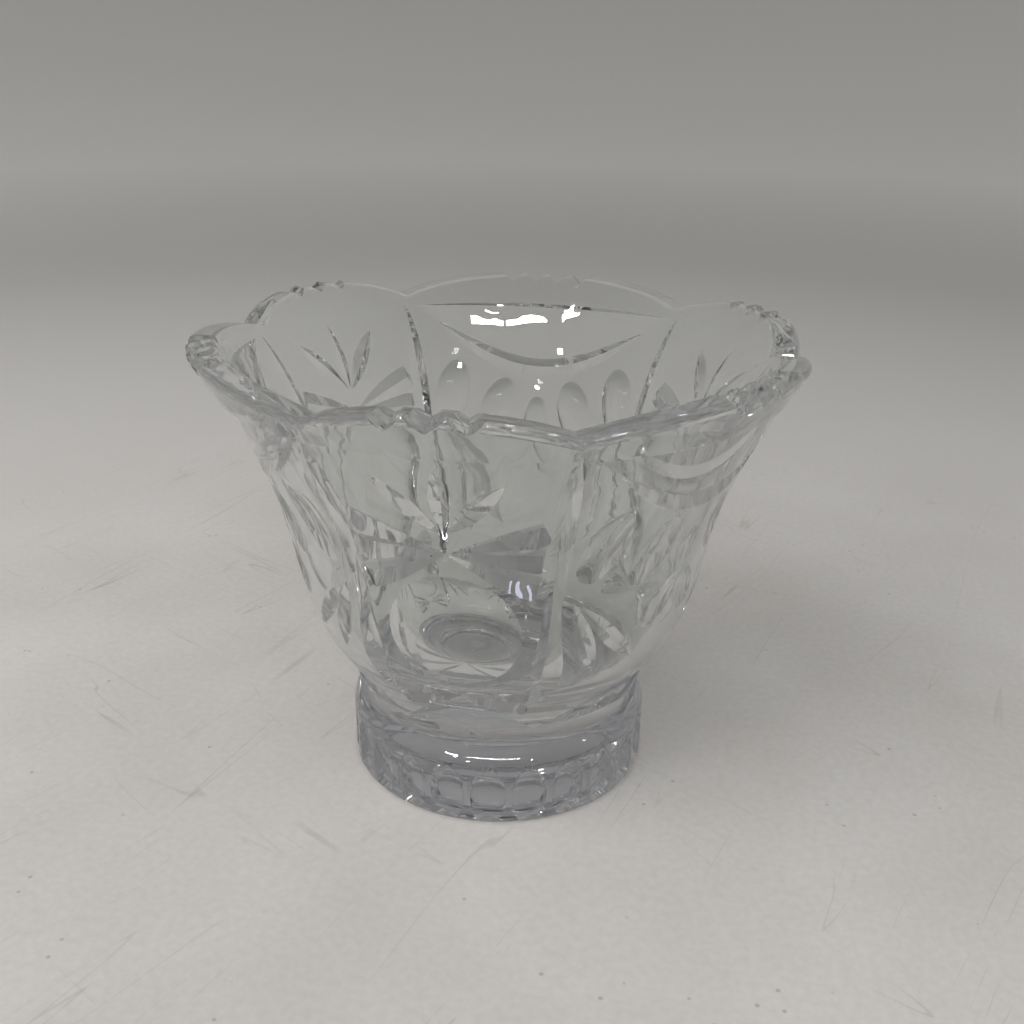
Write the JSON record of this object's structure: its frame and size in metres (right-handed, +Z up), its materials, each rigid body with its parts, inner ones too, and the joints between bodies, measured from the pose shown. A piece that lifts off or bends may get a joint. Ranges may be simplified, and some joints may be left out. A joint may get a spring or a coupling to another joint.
{
  "type": "footed crystal bowl",
  "caption": "Small flared footed bowl of clear cut crystal with a scalloped, notched rim, for holding nuts, sweets or a candle.",
  "frame": {"origin": "middle of the resting plane under the foot", "axes": "+Z up along the bowl's axis, -Y through the middle of a narrow panel"},
  "size_m": [0.0992, 0.1012, 0.0795],
  "materials": {
    "bowl_crystal": "polished clear crystal",
    "foot_crystal": "polished crystal with a faint violet cast"
  },
  "bodies": {
    "root": {"bowl": "bowl_crystal", "foot": "foot_crystal"}
  },
  "joints": []
}
